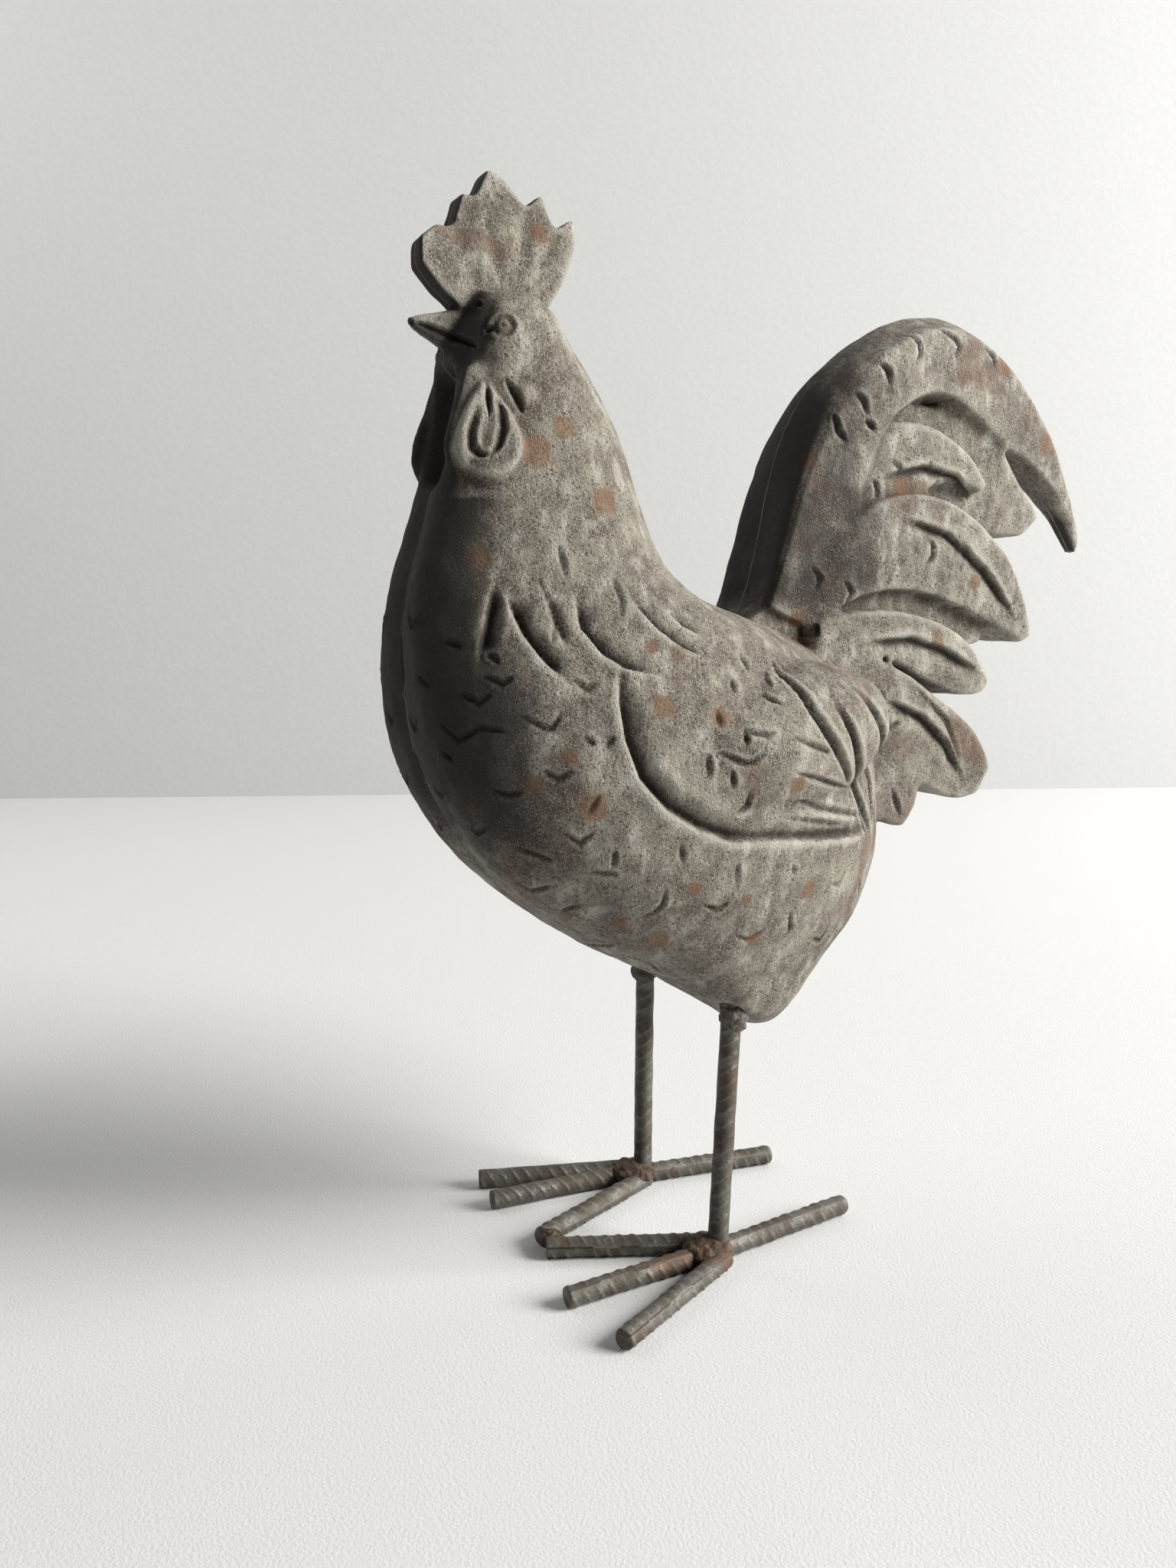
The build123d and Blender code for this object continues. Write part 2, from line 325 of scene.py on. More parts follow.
def makeCastFinish():
    # pewter paint brushed over brown, worn off in the hollows, with tan patches, a sooty front darkened
    # further with painted shade, and painted shade in the cuts
    material, shader = newMaterial("castFinish")
    w = Wiring(material.node_tree)
    place = w.place()
    grain = grainOf(w, place, castScale["grain"])
    drift = w.cloud(place, castScale["drift"], 5.0, 0.6, 0.4)
    streaks = w.cloud(w.moved(place, brushed["scale"], brushed["turn"]), 1.0, 4.0, 0.6)
    mottle = w.cloud(place, castScale["mottle"], 6.0, 0.7)
    relief = w.attribute("relief")
    bareAndShaded = w.attribute("bareAndShaded")

    # how much of the pewter paint is left
    cover = w.calc("ADD", w.stretch(drift, 0.3, 0.72, 0.35, 1.0), w.calc("MULTIPLY", relief, 0.55))
    gritty = w.stretch(w.cloud(place, castScale["gritty"], 3.0), 0.35, 0.62, 0.3, 1.1)
    cover = w.calc("SUBTRACT", cover, w.calc("MULTIPLY", grain["Pits"], gritty))
    # less paint where it is worn bare, and painted shade on the front
    cover = w.calc("SUBTRACT", cover, w.calc("MULTIPLY", bareAndShaded, 0.8))
    cover = w.calc("ADD", cover, w.stretch(mottle, 0.34, 0.62, -0.26, 0.14))
    cover = w.calc("ADD", cover, w.stretch(streaks, 0.4, 0.65, -0.12, 0.16), clamp=True)
    colour = w.mix(cover, castLook["umber"], castLook["pewter"])

    # paler on edges, in specks and along the brush strokes
    sparkle = w.stretch(grain["Speck"], 0.0, 1.0, 0.5, 1.0)
    edges = w.calc("MULTIPLY", w.stretch(relief, 0.25, 1.0), sparkle)
    colour = w.mix(w.calc("MULTIPLY", edges, 0.55), colour, castLook["pale"])
    colour = w.mix(w.calc("MULTIPLY", grain["Speck"], 0.9), colour, castLook["pale"])
    strokes = w.calc("MULTIPLY", w.stretch(streaks, 0.5, 0.7, 0.0, 0.45), cover)
    colour = w.mix(strokes, colour, castLook["pale"])

    # rust blots, tan patches, soot and painted shade on the front, and painted shade in the cuts
    turned = w.moved(place, (1, 1, 1), (0.3, 0.6, 0.1))
    blot = w.stretch(w.cloud(turned, castScale["blot"], 3.0, 0.5, 0.8), 0.6, 0.68)
    colour = w.mix(w.calc("MULTIPLY", blot, 0.5), colour, castLook["rust"])
    ragged = w.calc("MULTIPLY", w.cloud(place, castScale["ragged"], 4.0, 0.7), 1.2)
    patch = w.stretch(w.calc("ADD", w.attribute("patch"), ragged), 0.6, 1.5, 0.0, 0.75)
    colour = w.mix(patch, colour, castLook["tan"])
    drifting = w.calc("MULTIPLY", w.cloud(place, castScale["sootAndShade"], 5.0, 0.65), 0.8)
    sootAndShadeMask = w.stretch(w.calc("ADD", bareAndShaded, drifting), 0.5, 1.25, 0.0, 0.95)
    colour = w.mix(sootAndShadeMask, colour, castLook["sootAndShade"])
    cut = w.calc("MULTIPLY", w.stretch(w.attribute("cut"), 0.2, 1.1), 0.9)
    colour = w.mix(cut, colour, castLook["shade"])

    w.link(colour, shader.inputs["Base Color"])
    w.link(w.calc("SUBTRACT", 0.78, w.calc("MULTIPLY", cover, 0.22)), shader.inputs["Roughness"])
    w.link(w.calc("MULTIPLY", cover, 0.25), shader.inputs["Metallic"])
    w.link(w.bump(grain["Height"], 1.0, castBump), shader.inputs["Normal"])
    return material


bondLook = dict(
    dark=(0.075, 0.058, 0.043), light=(0.19, 0.175, 0.155), grain=620.0, drift=60.0, bump=0.7 * mm
)


def makeBondFinish():
    material, shader = newMaterial("bondFinish")
    w = Wiring(material.node_tree)
    place = w.place()
    grain = grainOf(w, place, bondLook["grain"])
    drift = w.stretch(w.cloud(place, bondLook["drift"], 4.0), 0.35, 0.65)
    colour = w.mix(drift, bondLook["dark"], bondLook["light"])
    # painted shade in the cuts
    colour = w.mix(w.calc("MULTIPLY", w.attribute("cut"), 0.9), colour, castLook["shade"])
    w.link(colour, shader.inputs["Base Color"])
    shader.inputs["Roughness"].default_value = 0.8
    w.link(w.bump(grain["Height"], 0.7, bondLook["bump"]), shader.inputs["Normal"])
    return material


fillLook = dict(
    dark=(0.2, 0.19, 0.175), light=(0.37, 0.355, 0.33), pit=(0.09, 0.085, 0.08),
    grain=380.0, stones=240.0, bump=1.0 * mm,
)


def makeFillFinish():
    material, shader = newMaterial("fillFinish")
    w = Wiring(material.node_tree)
    place = w.place()
    grain = grainOf(w, place, fillLook["grain"])
    stones = w.stretch(w.cells(place, fillLook["stones"]), 0.1, 0.45)
    colour = w.mix(stones, fillLook["dark"], fillLook["light"])
    colour = w.mix(w.calc("MULTIPLY", grain["Pits"], 0.6), colour, fillLook["pit"])
    w.link(colour, shader.inputs["Base Color"])
    shader.inputs["Roughness"].default_value = 0.92
    w.link(w.bump(grain["Height"], 0.9, fillLook["bump"]), shader.inputs["Normal"])
    return material


barLook = dict(
    brown=(0.070, 0.055, 0.040), grey=(0.150, 0.146, 0.130), rib=(0.25, 0.245, 0.222),
    pit=(0.035, 0.026, 0.019), rust=(0.115, 0.060, 0.034),
    grain=900.0, drift=90.0, blot=35.0, bump=0.4 * mm,
)


def makeBarFinish():
    # dull bar steel, paint worn thin over brown, dark between the ribs
    material, shader = newMaterial("barFinish")
    w = Wiring(material.node_tree)
    place = w.place()
    grain = grainOf(w, place, barLook["grain"])
    drift = w.cloud(place, barLook["drift"], 5.0, 0.6)
    colour = w.mix(w.stretch(drift, 0.35, 0.66), barLook["brown"], barLook["grey"])
    colour = w.mix(w.calc("MULTIPLY", w.attribute("rise"), 0.42), colour, barLook["rib"])
    colour = w.mix(w.calc("MULTIPLY", grain["Pits"], 0.6), colour, barLook["pit"])
    blot = w.stretch(w.cloud(place, barLook["blot"], 3.0), 0.58, 0.68, 0.0, 0.6)
    colour = w.mix(blot, colour, barLook["rust"])
    w.link(colour, shader.inputs["Base Color"])
    w.link(w.stretch(drift, 0.3, 0.7, 0.72, 0.5), shader.inputs["Roughness"])
    w.link(w.stretch(drift, 0.3, 0.7, 0.3, 0.65), shader.inputs["Metallic"])
    w.link(w.bump(grain["Height"], 0.6, barLook["bump"]), shader.inputs["Normal"])
    return material


lumpLook = dict(drift=160.0, roughness=0.7, bump=0.6 * mm)
weldLook = dict(dark=(0.045, 0.028, 0.018), light=(0.13, 0.085, 0.055), grain=700.0, metal=0.35)
puttyLook = dict(dark=(0.055, 0.042, 0.032), light=(0.16, 0.145, 0.125), grain=600.0, metal=0.0)


def makeLumpFinish(name, look):
    material, shader = newMaterial(name)
    w = Wiring(material.node_tree)
    place = w.place()
    grain = grainOf(w, place, look["grain"])
    drift = w.stretch(w.cloud(place, lumpLook["drift"], 4.0, 0.6), 0.35, 0.65)
    colour = w.mix(drift, look["dark"], look["light"])
    colour = w.mix(w.calc("MULTIPLY", grain["Pits"], 0.7), colour, castLook["shade"])
    w.link(colour, shader.inputs["Base Color"])
    shader.inputs["Roughness"].default_value = lumpLook["roughness"]
    shader.inputs["Metallic"].default_value = look["metal"]
    w.link(w.bump(grain["Height"], 0.8, lumpLook["bump"]), shader.inputs["Normal"])
    return material


castFinish = makeCastFinish()
bondFinish = makeBondFinish()
fillFinish = makeFillFinish()
barFinish = makeBarFinish()
weldFinish = makeLumpFinish("weldFinish", weldLook)
puttyFinish = makeLumpFinish("puttyFinish", puttyLook)
print("materials made")


# Cast body: one skin round the casting, carved, then split along its seam

# The skin's fineness, the share of its faces that stays after carving, and how close points are joined.
skinSize = dict(voxel=0.95 * mm, kept=0.66, joined=0.002 * mm)
# The plugs in the leg holes, in millimetres: radius, length, and their middle above the putty's foot.
plug = dict(radius=4.9, length=23.0, middle=27.5, segments=24)


def solidSkin():
    # one closed skin round the whole casting and its fill
    bm = bmesh.new()
    for name in ("body_half_left", "body_half_right", "seam_bond", "belly_fill"):
        bm.from_mesh(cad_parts[name].data)
    for side in sides:
        low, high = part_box(f"{side}_leg_putty")
        middle = (low + high) / 2
        middle.z = low.z + plug["middle"] * mm
        radius = plug["radius"] * mm
        bmesh.ops.create_cone(
            bm, cap_ends=True, segments=plug["segments"], radius1=radius, radius2=radius,
            depth=plug["length"] * mm, matrix=Matrix.Translation(middle),
        )
    bmesh.ops.remove_doubles(bm, verts=bm.verts, dist=skinSize["joined"])
    return modified(meshFrom("body", bm), "REMESH", mode="VOXEL", voxel_size=skinSize["voxel"])


# Cuts in side view, place from front to back and height in millimetres, the same on both sides.
# Each group: half width, depth, and how much wider the cut is on its outer side.
sideCuts = {
    "hackleThin": dict(width=1.3, depth=1.4, outer=1.6, lines=[
        [(-77, 261), (-75, 253), (-74, 246), (-77, 239)],
        [(-97, 238), (-93, 234)],
        [(-52, 262), (-50, 255), (-51, 248)],
        [(-69, 272), (-68, 262)],
    ]),
    "breast": dict(width=1.1, depth=1.3, outer=1.8, lines=[
        [(-88, 217), (-82, 213), (-79, 213), (-76, 218)],
        [(-70, 210), (-66, 207)],
        [(-63, 206), (-60, 210)],
        [(-109, 214), (-105, 209), (-100, 213), (-93, 212)],
        [(-107, 241), (-103, 239)],
        [(-98, 230), (-93, 227), (-89, 230)],
        [(-96, 193), (-92, 191), (-88, 192)],
        [(-99, 179), (-97, 176), (-95, 180)],
        [(-88, 173), (-84, 171), (-77, 168)],
        [(-82, 199), (-78, 196), (-73, 199)],
        [(-75, 178), (-70, 174), (-66, 178)],
        [(-83, 158), (-79, 155), (-74, 159)],
        [(-104, 224), (-100, 221), (-96, 224)],
        [(-72, 229), (-67, 225), (-63, 228)],
    ]),
    "belly": dict(width=1.1, depth=1.3, outer=1.7, lines=[
        [(-65, 191), (-69, 184)],
        [(-59, 172), (-59, 166)],
        [(-66, 164), (-57, 163)],
        [(-37, 173), (-36, 166)],
        [(-15, 164), (-14, 155)],
        [(10, 161), (11, 157)],
        [(-46, 146), (-42, 148), (-40, 151), (-40, 157)],
        [(-69, 148), (-65, 151)],
        [(13, 142), (15, 134), (11, 131)],
        [(-48, 130), (-36, 125), (-26, 118)],
        [(-26, 150), (-20, 147), (-16, 150)],
        [(32, 150), (38, 148), (41, 153)],
        [(-10, 136), (-4, 133), (2, 137)],
        [(30, 128), (35, 125), (38, 130)],
        [(-58, 132), (-53, 130), (-49, 134)],
        [(56, 146), (58, 140)],
    ]),
    "wingNicks": dict(width=1.1, depth=1.7, outer=1.8, lines=[
        [(-7, 235), (-5, 230)],
        [(-14, 227), (-13, 223)],
        [(3, 229), (3, 224)],
        [(-2, 222), (0, 220), (4, 218)],
        [(-22, 217), (-21, 211)],
        [(-14, 210), (-10, 209), (-5, 208), (-1, 209)],
        [(-13, 210), (-13, 205)],
        [(-23, 203), (-19, 201), (-15, 199), (-11, 199), (-7, 202)],
        [(-27, 203), (-27, 195)],
        [(-19, 197), (-18, 190)],
        [(-11, 189), (-12, 184), (-16, 182)],
        [(5, 207), (12, 204), (22, 200)],
        [(5, 195), (18, 191), (38, 186)],
        [(11, 184), (22, 180), (34, 177), (52, 173)],
        [(6, 178), (26, 174), (46, 170)],
    ]),
    "wingLong": dict(width=1.9, depth=3.2, outer=1.7, lines=[
        [(8, 232), (12, 223), (15, 215), (20, 207), (25, 200), (35, 189)],
        [(26, 217), (31, 209), (37, 197), (44, 186), (50, 174), (54, 166)],
    ]),
    "tailCrescents": dict(width=1.7, depth=2.2, outer=1.4, lines=[
        [(57, 325), (58, 319), (62, 315)],
        [(66, 334), (70, 331), (72, 326)],
        [(71, 324), (76, 320)],
        [(78, 346), (82, 343), (83, 338)],
    ]),
    "tailShallow": dict(width=1.3, depth=1.6, outer=1.6, lines=[
        [(92, 358), (97, 355), (98, 351), (95, 346)],
        [(110, 362), (118, 359), (121, 356), (118, 352)],
        [(137, 358), (143, 355), (144, 351)],
        [(83, 360), (84, 354)],
        [(86, 310), (91, 307), (91, 302)],
        [(107, 311), (105, 306)],
        [(78, 302), (80, 298), (79, 295)],
        [(98, 280), (104, 277), (104, 272), (100, 268)],
        [(116, 281), (123, 274), (118, 266)],
        [(76, 219), (77, 213)],
        [(89, 212), (90, 205)],
        [(81, 203), (87, 206)],
        [(84, 178), (88, 167)],
        [(94, 219), (110, 205), (117, 190), (117, 179)],
        [(60, 262), (64, 257), (61, 252)],
        [(46, 268), (50, 263), (48, 258)],
    ]),
    "combValleys": dict(width=4.2, depth=0.8, outer=1.0, lines=[
        [(-90, 381), (-87, 371), (-83, 361)],
        [(-80, 390), (-77, 377), (-75, 364)],
        [(-64, 387), (-66, 376), (-68, 364)],
        [(-53, 381), (-57, 372), (-62, 363)],
    ]),
    "wattle": dict(width=1.6, depth=2.2, outer=1.2, lines=[
        [(-90.5, 317), (-93.5, 309), (-93.5, 304), (-90, 301), (-87, 301)],
        [(-87, 301), (-84.5, 304), (-82.5, 310), (-82.5, 316), (-84, 321)],
        [(-87, 327), (-87, 319), (-87, 314)],
        [(-80.5, 327), (-78, 322), (-76, 316)],
    ]),
    "face": dict(width=1.3, depth=2.9, outer=1.3, lines=[
        [(-104, 347.5), (-100, 346), (-95, 344), (-92, 341), (-89, 338)],
        [(-86, 353), (-84.5, 353)],
        [(-83, 344), (-85.5, 343)],
    ]),
}
# Cuts seen from in front, place from side to side and height.
frontCuts = {
    "seam": dict(width=0.9, depth=1.6, outer=1.0, lines=[[(0, 247), (0, 222)], [(0, 203), (0, 190)]]),
    "breastFront": dict(width=1.1, depth=1.3, outer=1.7, lines=[
        [(21, 230), (28, 226)],
        [(8, 215), (13, 211), (18, 215)],
        [(14, 192), (19, 188), (25, 192)],
        [(6, 175), (11, 171), (16, 175)],
        [(12, 250), (17, 246), (22, 249)],
        [(30, 205), (34, 202)],
    ]),
}
# Steps in side view: past the line the surface is sunk, less and less over the reach. Behind the line it
# falls off over the back, and the lift makes it stand proud.
ledges = {
    "wingFront": dict(reach=9.0, depth=5.0, back=1.8, lift=1.6, lines=[
        [
            (-4, 172), (-18, 173), (-30, 178), (-42, 185.5),
            (-51, 196), (-55.5, 209), (-56.5, 221), (-55, 231),
        ],
    ]),
    "wingUnder": dict(reach=7.0, depth=3.0, back=1.5, lift=1.2, lines=[
        [(50, 167), (36, 168), (20, 169.5), (4, 171.5), (-12, 172.5)],
    ]),
    "wingRear": dict(reach=5.0, depth=2.6, back=1.2, lift=0.6, lines=[
        [(27, 219), (32, 210), (38, 198), (46, 186), (53, 175), (59, 166)],
        [(40, 222), (50, 212), (58, 199), (62, 186), (62, 172)],
    ]),
    "hackle": dict(reach=7.0, depth=3.8, back=1.2, lift=0.9, lines=[
        [(-75, 230), (-80, 236), (-84.5, 244), (-87.5, 254)],
        [(-46, 230.5), (-53, 232.5), (-60, 237), (-65.5, 245), (-65.5, 254)],
        [(-26, 236.5), (-31.5, 239), (-38.5, 245), (-44, 252)],
        [(-98, 238), (-95, 247), (-92, 257)],
    ]),
    "hackleTip": dict(reach=4.5, depth=2.2, back=1.0, lift=0.4, lines=[
        [(-72, 240), (-74, 247), (-75, 255)],
        [(-23, 243), (-28, 246), (-32, 250)],
    ]),
    "featherSteps": dict(reach=7.0, depth=2.8, back=1.5, lift=0.9, lines=[
        [(72, 238), (92, 239), (110, 234), (126, 226)],
        [(82, 214), (98, 207), (111, 196), (119, 183)],
        [(86, 304), (104, 308), (120, 305), (132, 300)],
        [(92, 286), (112, 281), (132, 267), (148, 250)],
    ]),
}
# The face, each piece of it at a place from front to back and a height, with its radius and relief.
eye = dict(
    at=(-80, 344.5), ring=4.7, ringWidth=0.95, ringHeight=1.2,
    ball=2.9, ballHeight=1.5, pupil=1.1, pupilDepth=1.0,
)
lobe = dict(at=(-74, 322), radius=5.0, height=1.8)
cheek = dict(at=(-81, 335), radius=8.0, height=1.2)
brow = dict(at=(-79, 350.5), radius=4.5, height=1.0)
# The wattle, a raised teardrop: half width at its top and bottom, half height, height of its relief.
wattle = dict(at=(-87.5, 309.5), top=4.5, bottom=12.0, halfHeight=17.0, height=3.4)
# Hollows down the middle, each between two heights and in front of a place from front to back.
breastHollow = dict(
    depth=2.2, halfWidth=6.0, foot=(120, 160), top=(290, 310), before=-60, facing=(0.5, 0.85)
)
throatHollow = dict(
    depth=8.0, halfWidth=10.0, foot=(292, 300), top=(328, 336), before=-80, facing=(0.3, 0.7)
)
# Unevenness of the hand-finished form: height, size and seed of each wave.
waves = [(0.55, 17.0, 3.1), (0.22, 5.0, 8.3)]
# Wear: how many times a stretch is smoothed, and over which places it sets in.
wear = dict(all=5, rounding=30, tail=12, tailFrom=(40, 70))
foreWear = dict(times=110, facing=(0.3, 0.6), behind=(20, 35), above=(225, 245), spread=70, gain=2.2)
tipWear = dict(times=110, behind=(184, 200))
# Tan patches: front to back, height, radius
patches = [
    (-102, 186, 6), (-74, 204, 4), (-85, 195, 3), (-42, 219, 5), (-43, 238, 4), (-67, 187, 6), (-2, 134, 5),
    (-9, 150, 3), (-30, 156, 4), (-52, 144, 4), (-38, 136, 5), (46, 308, 5), (44, 276, 4), (40, 247, 5),
    (-73, 303, 7), (-62, 312, 5), (-50, 288, 6), (-95, 268, 5), (20, 150, 4), (150, 352, 5), (180, 322, 6),
    (92, 300, 4), (128, 262, 4), (105, 238, 4), (-20, 214, 5), (8, 190, 4), (60, 200, 4), (-60, 380, 4),
]
# Shades: how far points are smoothed to find what stands out, and the relief that is fully bright.
reliefLook = dict(smoothing=14, full=0.55)
# How strokes are drawn on the skin: how far off it a point may lie and how far it may face away, how they
# taper to their ends, and where the rim of a cut is thrown up.
stroke = dict(
    margin=4, farOff=7, facing=0.25, cutEnds=0.4, ledgeEnds=0.3, rimAt=1.2, rimWidth=0.4, rimHeight=0.2
)
# Side rays start beyond the wings, and front rays before the beak, in millimetres.
rayStart = dict(side=150, front=-200)
faraway = 1e9
lifted = dict(width=6.0, least=9)
# Cuts and steps this deep get the full painted shade, drawn in the shade colour by the finishes.
cutShadeDepth = dict(cut=2.0, ledge=3.0)


class Carving:
    # depths and heights along the normals of a skin, gathered from many strokes, with its right side
    # folded onto its left so that each stroke marks both
    def __init__(self, mesh):
        self.points = pointsOf(mesh)
        self.folded = self.points.copy()
        self.folded[:, 0] = np.abs(self.points[:, 0])
        self.normals = normalsOf(mesh)
        self.normals[:, 0] *= np.where(self.points[:, 0] < 0, -1, 1)
        self.depth = np.zeros(len(self.points))
        self.cutShade = np.zeros(len(self.points))
        self.height = np.zeros(len(self.points))
        bm = bmesh.new()
        bm.from_mesh(mesh)
        self.tree = BVHTree.FromBMesh(bm)
        bm.free()

    def hit(self, start, direction):
        point, normal = self.tree.ray_cast(Vector(start) * mm, Vector(direction))[:2]
        if point is None:
            return None, None
        return np.array(point) / mm, np.array(normal)

    def onSide(self, line):
        return [self.hit((rayStart["side"], y, z), (-1, 0, 0)) for y, z in line]

    def onFront(self, line):
        return [self.hit((x, rayStart["front"], z), (0, 1, 0)) for x, z in line]

    def distances(self, line, reach):
        # for points near the line: distance in the surface, side of the line, and share of its length
        best = np.full(len(self.points), faraway)
        side = np.zeros(len(self.points))
        share = np.zeros(len(self.points))
        line = [place for place in line if place[0] is not None]
        runs = [np.linalg.norm(b[0] - a[0]) for a, b in zip(line[:-1], line[1:])]
        start = 0.0
        for (a, normalA), (b, normalB), run in zip(line[:-1], line[1:], runs):
            start += run
            low = np.minimum(a, b) - reach - stroke["margin"]
            high = np.maximum(a, b) + reach + stroke["margin"]
            near = np.nonzero(((self.folded > low) & (self.folded < high)).all(1))[0]
            if not len(near):
                continue
            along = b - a
            length = np.linalg.norm(along)
            normal = normalA + normalB
            normal /= np.linalg.norm(normal)
            away = self.folded[near] - a
            t = np.clip(away @ along / length**2, 0, 1)
            away = away - t[:, None] * along
            lift = (away * self.normals[near]).sum(1)
            flat = away - lift[:, None] * self.normals[near]
            distance = np.linalg.norm(flat, axis=1)
            facing = self.normals[near] @ normal
            onSkin = (np.abs(lift) < stroke["farOff"]) & (facing > stroke["facing"])
            distance = np.where(onSkin, distance, faraway)
            turn = flat @ np.cross(normal, along / length)
            closer = distance < best[near]
            best[near[closer]] = distance[closer]
            side[near[closer]] = np.sign(turn[closer])
            share[near[closer]] = (start + (t[closer] - 1) * run) / sum(runs)
        return best, side, share

    def cut(self, line, width, depth, outer):
        # a gouge, wider on one side of the line than on the other
        distance, side, share = self.distances(line, width * outer)
        taper = stroke["cutEnds"] + (1 - stroke["cutEnds"]) * np.sin(np.pi * share) ** 0.7
        spread = np.where(side > 0, width * outer, width) * taper
        gouge = taper * np.clip(1 - distance / spread, 0, 1)
        self.depth = np.maximum(self.depth, depth * gouge**1.2)
        # painted shade in the gouge, fuller where the cut is deeper
        self.cutShade = np.maximum(self.cutShade, min(1, depth / cutShadeDepth["cut"]) * gouge)
        rim = np.exp(-(((distance - stroke["rimAt"] * spread) / (stroke["rimWidth"] * spread)) ** 2))
        self.height = np.maximum(self.height, stroke["rimHeight"] * depth * rim * (distance < faraway))

    def ledge(self, line, reach, depth, back, lift):
        # a step down past the line, with the surface behind it lifted
        distance, side, share = self.distances(line, max(reach, lifted["least"]))
        ends = stroke["ledgeEnds"]
        taper = ends + (1 - ends) * np.clip(np.sin(np.pi * share) * 2.2, 0, 1)
        slope = np.clip(1 - distance / reach, 0, 1) ** 1.6
        lip = np.clip(1 - distance / back, 0, 1) ** 1.5
        self.depth = np.maximum(self.depth, depth * taper * np.where(side < 0, slope, lip))
        proud = lift * taper * np.exp(-((distance / lifted["width"]) ** 2))
        self.height = np.maximum(self.height, np.where((side > 0) & (distance < faraway), proud, 0))
        # painted shade on the sunk side near the line and on the lip behind it
        close = np.clip(1.15 - distance / (0.6 * reach), 0, 1)
        dark = min(1, depth / cutShadeDepth["ledge"]) * taper * np.where(side < 0, close, lip)
        self.cutShade = np.maximum(self.cutShade, dark)

    def awayFrom(self, at):
        # distance of every point from the place where a side ray meets the skin
        centre = self.hit((rayStart["side"], *at), (-1, 0, 0))[0]
        return np.linalg.norm(self.folded - centre, axis=1)

    def ring(self, at, radius, width, height):
        rise = np.exp(-(((self.awayFrom(at) - radius) / width) ** 2))
        self.height = np.maximum(self.height, height * rise)

    def pit(self, at, radius, depth):
        self.depth = np.maximum(self.depth, depth * np.clip(1 - (self.awayFrom(at) / radius) ** 2, 0, 1))

    def bulge(self, at, radius, height):
        self.height = np.maximum(self.height, height * np.clip(1 - (self.awayFrom(at) / radius) ** 2, 0, 1))

    def teardrop(self, at, top, bottom, halfHeight, height):
        # a raised drop with a soft edge, narrower towards its top
        rise = (self.folded[:, 2] - at[1]) / halfHeight
        half = bottom + (top - bottom) * np.clip((rise + 0.3) / 1.3, 0, 1)
        away = np.hypot((self.folded[:, 1] - at[0]) / half, rise)
        faced = ramp(self.normals[:, 0], 0.1, 0.4)
        self.height += height * (1 - ramp(away, 0.84, 1.08)) * faced


def lumps(points, size, seed):
    return np.array([noise.noise(Vector(p) / size + Vector((seed, seed, seed))) for p in points.tolist()])


def rubDown(mesh, edges):
    # takes off the steps of the remesh, then rounds the tail, its front edge and its tip
    points = smoothed(pointsOf(mesh), edges, wear["all"])
    soft = points
    for step in range(wear["rounding"]):  # rounds edges but keeps the size
        soft = smoothed(smoothed(soft, edges, 1, 0.62), edges, 1, -0.64)
    tail = ramp(points[:, 1], *wear["tailFrom"])
    points = blended(points, soft, tail)
    points = blended(points, smoothed(points, edges, wear["tail"]), tail)
    setPoints(mesh, points)
    fore = ramp(-normalsOf(mesh)[:, 1], *foreWear["facing"])
    fore *= ramp(points[:, 1], *foreWear["behind"]) * ramp(points[:, 2], *foreWear["above"])
    fore = np.clip(smoothed(fore, edges, foreWear["spread"]) * foreWear["gain"], 0, 1)
    points = blended(points, smoothed(points, edges, foreWear["times"]), fore)
    tip = ramp(points[:, 1], *tipWear["behind"])
    setPoints(mesh, blended(points, smoothed(points, edges, tipWear["times"]), tip))


def strokesOn(mesh):
    work = Carving(mesh)
    for groups, placed in ((sideCuts, work.onSide), (frontCuts, work.onFront)):
        for group in groups.values():
            for line in group["lines"]:
                work.cut(placed(line), group["width"], group["depth"], group["outer"])
    for group in ledges.values():
        for line in group["lines"]:
            work.ledge(work.onSide(line), group["reach"], group["depth"], group["back"], group["lift"])
    work.ring(eye["at"], eye["ring"], eye["ringWidth"], eye["ringHeight"])
    work.bulge(eye["at"], eye["ball"], eye["ballHeight"])
    work.pit(eye["at"], eye["pupil"], eye["pupilDepth"])
    for blob in (lobe, cheek, brow):
        work.bulge(blob["at"], blob["radius"], blob["height"])
    work.teardrop(**wattle)
    return work


def hollowDepth(points, normals, hollow, power):
    # a valley down the middle of the bird's front, soft at both ends
    across = np.exp(-((points[:, 0] / hollow["halfWidth"]) ** power))
    upright = band(points[:, 2], hollow["foot"], hollow["top"]) * (points[:, 1] < hollow["before"])
    return hollow["depth"] * across * upright * ramp(-normals[:, 1], *hollow["facing"])


def bareAndShadedMask(points, normals):
    # where the paint is worn to the dark ground, darkened further with painted shade on the faces turned
    # away from the light: the breast, but not the wattles, and the tail's front
    ahead = -normals[:, 1]
    beside, place, height = normals[:, 0], points[:, 1], points[:, 2]
    breast = ramp(ahead, 0.15, 0.75) * ramp(height, 130, 220) * (1 - ramp(place, -40, 60))
    wattleSide = ramp(beside, 0.45, 0.75) * (height > 288) * (height < 332)
    tailFront = ramp(ahead, 0.5, 0.9) * ramp(place, 10, 40) * (height > 240)
    tailRoot = 0.55 * band(place, (15, 30), (55, 100)) * ramp(height, 240, 260)
    return np.maximum.reduce([breast * (1 - 0.75 * wattleSide), tailFront, tailRoot])


def patchiness(work, uneven):
    # squarish tan patches with uneven edges
    patch = np.zeros(len(work.points))
    for place, height, radius in patches:
        centre = work.hit((rayStart["side"], place, height), (-1, 0, 0))[0]
        if centre is None:
            continue
        square = (np.abs(work.folded - centre) ** 3).sum(1) ** (1 / 3)
        patch = np.maximum(patch, 1 - ramp(square + 2.5 * uneven, radius * 0.45, radius))
    return patch


